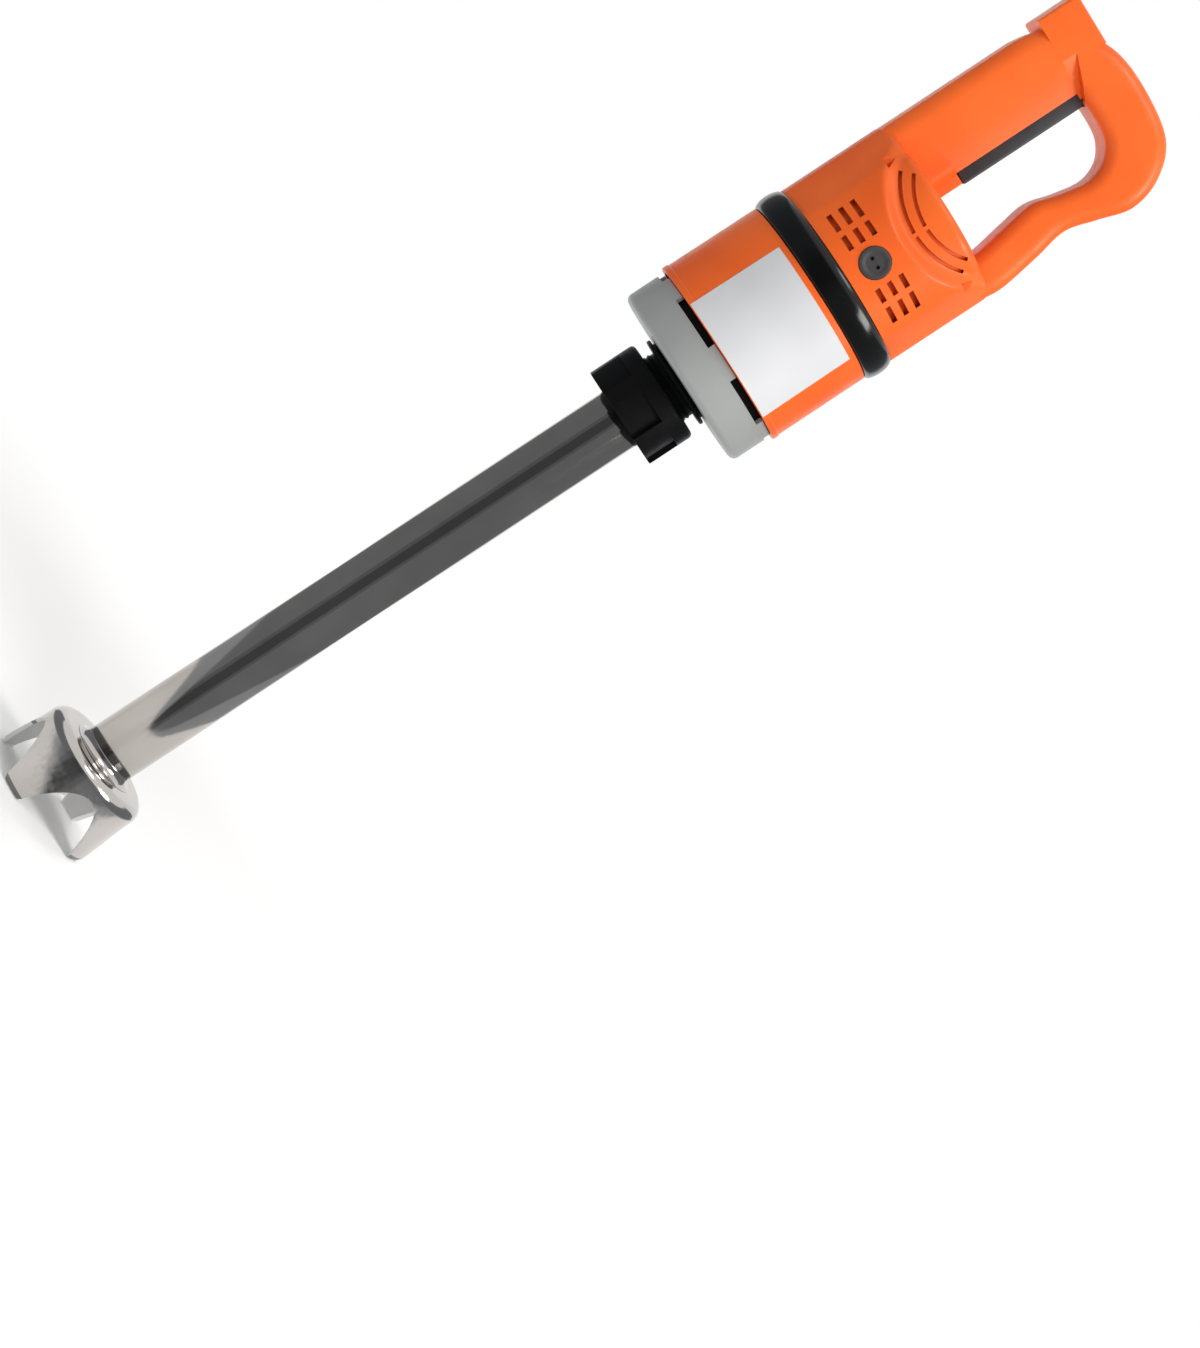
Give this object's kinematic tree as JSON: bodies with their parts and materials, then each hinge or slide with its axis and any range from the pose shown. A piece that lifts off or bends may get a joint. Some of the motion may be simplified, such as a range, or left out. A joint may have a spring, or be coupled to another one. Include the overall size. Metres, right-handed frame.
{
  "type": "immersion blender",
  "caption": "Commercial hand-held immersion blender: D-handled motor head with a press-in trigger bar, screw-on stainless shaft tube and a legged blade guard.",
  "frame": {"origin": "on the tool's axis, in the plane of the blade guard's leg tips", "axes": "+Z along the tool's axis from the blade to the handle, +X towards the bow of the D-handle, -X towards the grip with the trigger; the housing splits at y = 0"},
  "size_m": [0.1254, 0.1254, 0.7827],
  "materials": {
    "orange_plastic": "satin",
    "grey_plastic": "satin",
    "black_plastic": "satin",
    "black_rubber": "satin",
    "stainless": "polished",
    "steel": "turned",
    "lamination": "stamped",
    "die_cast": "as cast",
    "copper": "varnished winding",
    "brass": "turned",
    "carbon": "pressed carbon"
  },
  "bodies": {
    "motor_head": {"motor_barrel": "orange_plastic", "handle_shell_left": "orange_plastic", "handle_shell_right": "orange_plastic", "front_cover": "grey_plastic", "coupling_neck": "black_plastic", "switch_block": "black_plastic", "brush_holder_left": "black_plastic", "brush_holder_right": "black_plastic", "brush_cap_left": "black_plastic", "brush_cap_right": "black_plastic", "bumper_ring": "black_rubber", "cord_inlet": "black_rubber", "front_bearing": "steel", "rear_bearing": "steel", "trigger_pin": "steel", "brush_spring_left": "steel", "brush_spring_right": "steel", "motor_bolt_1": "steel", "motor_bolt_2": "steel", "motor_bolt_3": "steel", "motor_bolt_4": "steel", "handle_screw_1": "steel", "handle_screw_2": "steel", "handle_screw_3": "steel", "handle_screw_4": "steel", "handle_screw_5": "steel", "stator_core": "lamination", "rear_bearing_bracket": "die_cast", "field_coil_upper": "copper", "field_coil_lower": "copper", "carbon_brush_left": "carbon", "carbon_brush_right": "carbon"},
    "armature": {"armature_shaft": "steel", "armature_core": "lamination", "armature_winding_front": "copper", "armature_winding_rear": "copper", "commutator": "copper", "cooling_fan": "black_plastic", "drive_socket": "steel"},
    "shaft_assembly": {"blade_guard": "stainless", "shaft_tube": "stainless", "tube_collar": "stainless", "collar_gasket": "black_rubber", "upper_bush_carrier": "black_plastic", "upper_bush": "brass", "middle_bush": "black_plastic", "lower_bush": "brass", "shaft_seal": "black_rubber"},
    "blade_drive": {"drive_shaft": "steel", "drive_dog": "black_plastic", "blade": "stainless", "blade_nut": "stainless"},
    "nut": {"coupling_nut": "black_plastic"},
    "trigger": {"trigger": "black_plastic", "trigger_spring": "steel"},
    "plunger": {"switch_plunger": "brass"}
  },
  "joints": [
    {"name": "armature_spin", "type": "hinge", "parent": "motor_head", "child": "armature", "pos_m": [0, 0, 0.5], "axis": [0, 0, 1], "continuous": true},
    {"name": "shaft_release", "type": "slide", "parent": "motor_head", "child": "shaft_assembly", "axis": [0, 0, -1], "range_m": [0, 0.06]},
    {"name": "blade_spin", "type": "hinge", "parent": "shaft_assembly", "child": "blade_drive", "pos_m": [0, 0, 0.02], "axis": [0, 0, 1], "continuous": true},
    {"name": "nut_turn", "type": "hinge", "parent": "shaft_assembly", "child": "nut", "pos_m": [0, 0, 0.43], "axis": [0, 0, 1], "range_deg": [-540, 0]},
    {"name": "trigger_press", "type": "hinge", "parent": "motor_head", "child": "trigger", "pos_m": [-0.016, 0, 0.6563], "axis": [0, -1, 0], "range_deg": [0, 4.5], "stiffness_Nm_per_rad": 2, "springref_deg": -5.73},
    {"name": "plunger_travel", "type": "slide", "parent": "motor_head", "child": "plunger", "axis": [-1, 0, 0], "range_m": [0, 0.003]}
  ],
  "couplings": [
    {"joint": "blade_spin", "follows": "armature_spin", "ratio": 1},
    {"joint": "plunger_travel", "follows": "trigger_press", "m_per_rad": 0.034}
  ]
}
